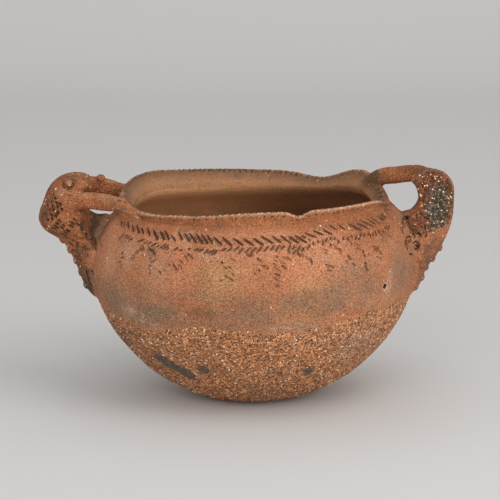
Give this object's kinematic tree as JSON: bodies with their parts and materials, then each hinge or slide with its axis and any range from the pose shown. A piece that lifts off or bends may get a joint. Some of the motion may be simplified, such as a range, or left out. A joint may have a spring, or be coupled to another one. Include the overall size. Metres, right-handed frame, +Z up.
{
  "type": "ceramic pot",
  "caption": "Small round-bellied earthenware pot with a notched lip, an incised herringbone band and animal-head lugs tied to the lip by clay straps.",
  "frame": {"origin": "centre of the small flat spot that the pot stands on", "axes": "+X to the right through both lugs, -Y towards the front as pictured, +Z up the pot's axis"},
  "size_m": [0.1598, 0.126, 0.0882],
  "materials": {
    "fired_clay": "matte unglazed earthenware, smoothed above, worn to rough grit below"
  },
  "bodies": {
    "root": {"pot": "fired_clay"}
  },
  "joints": []
}
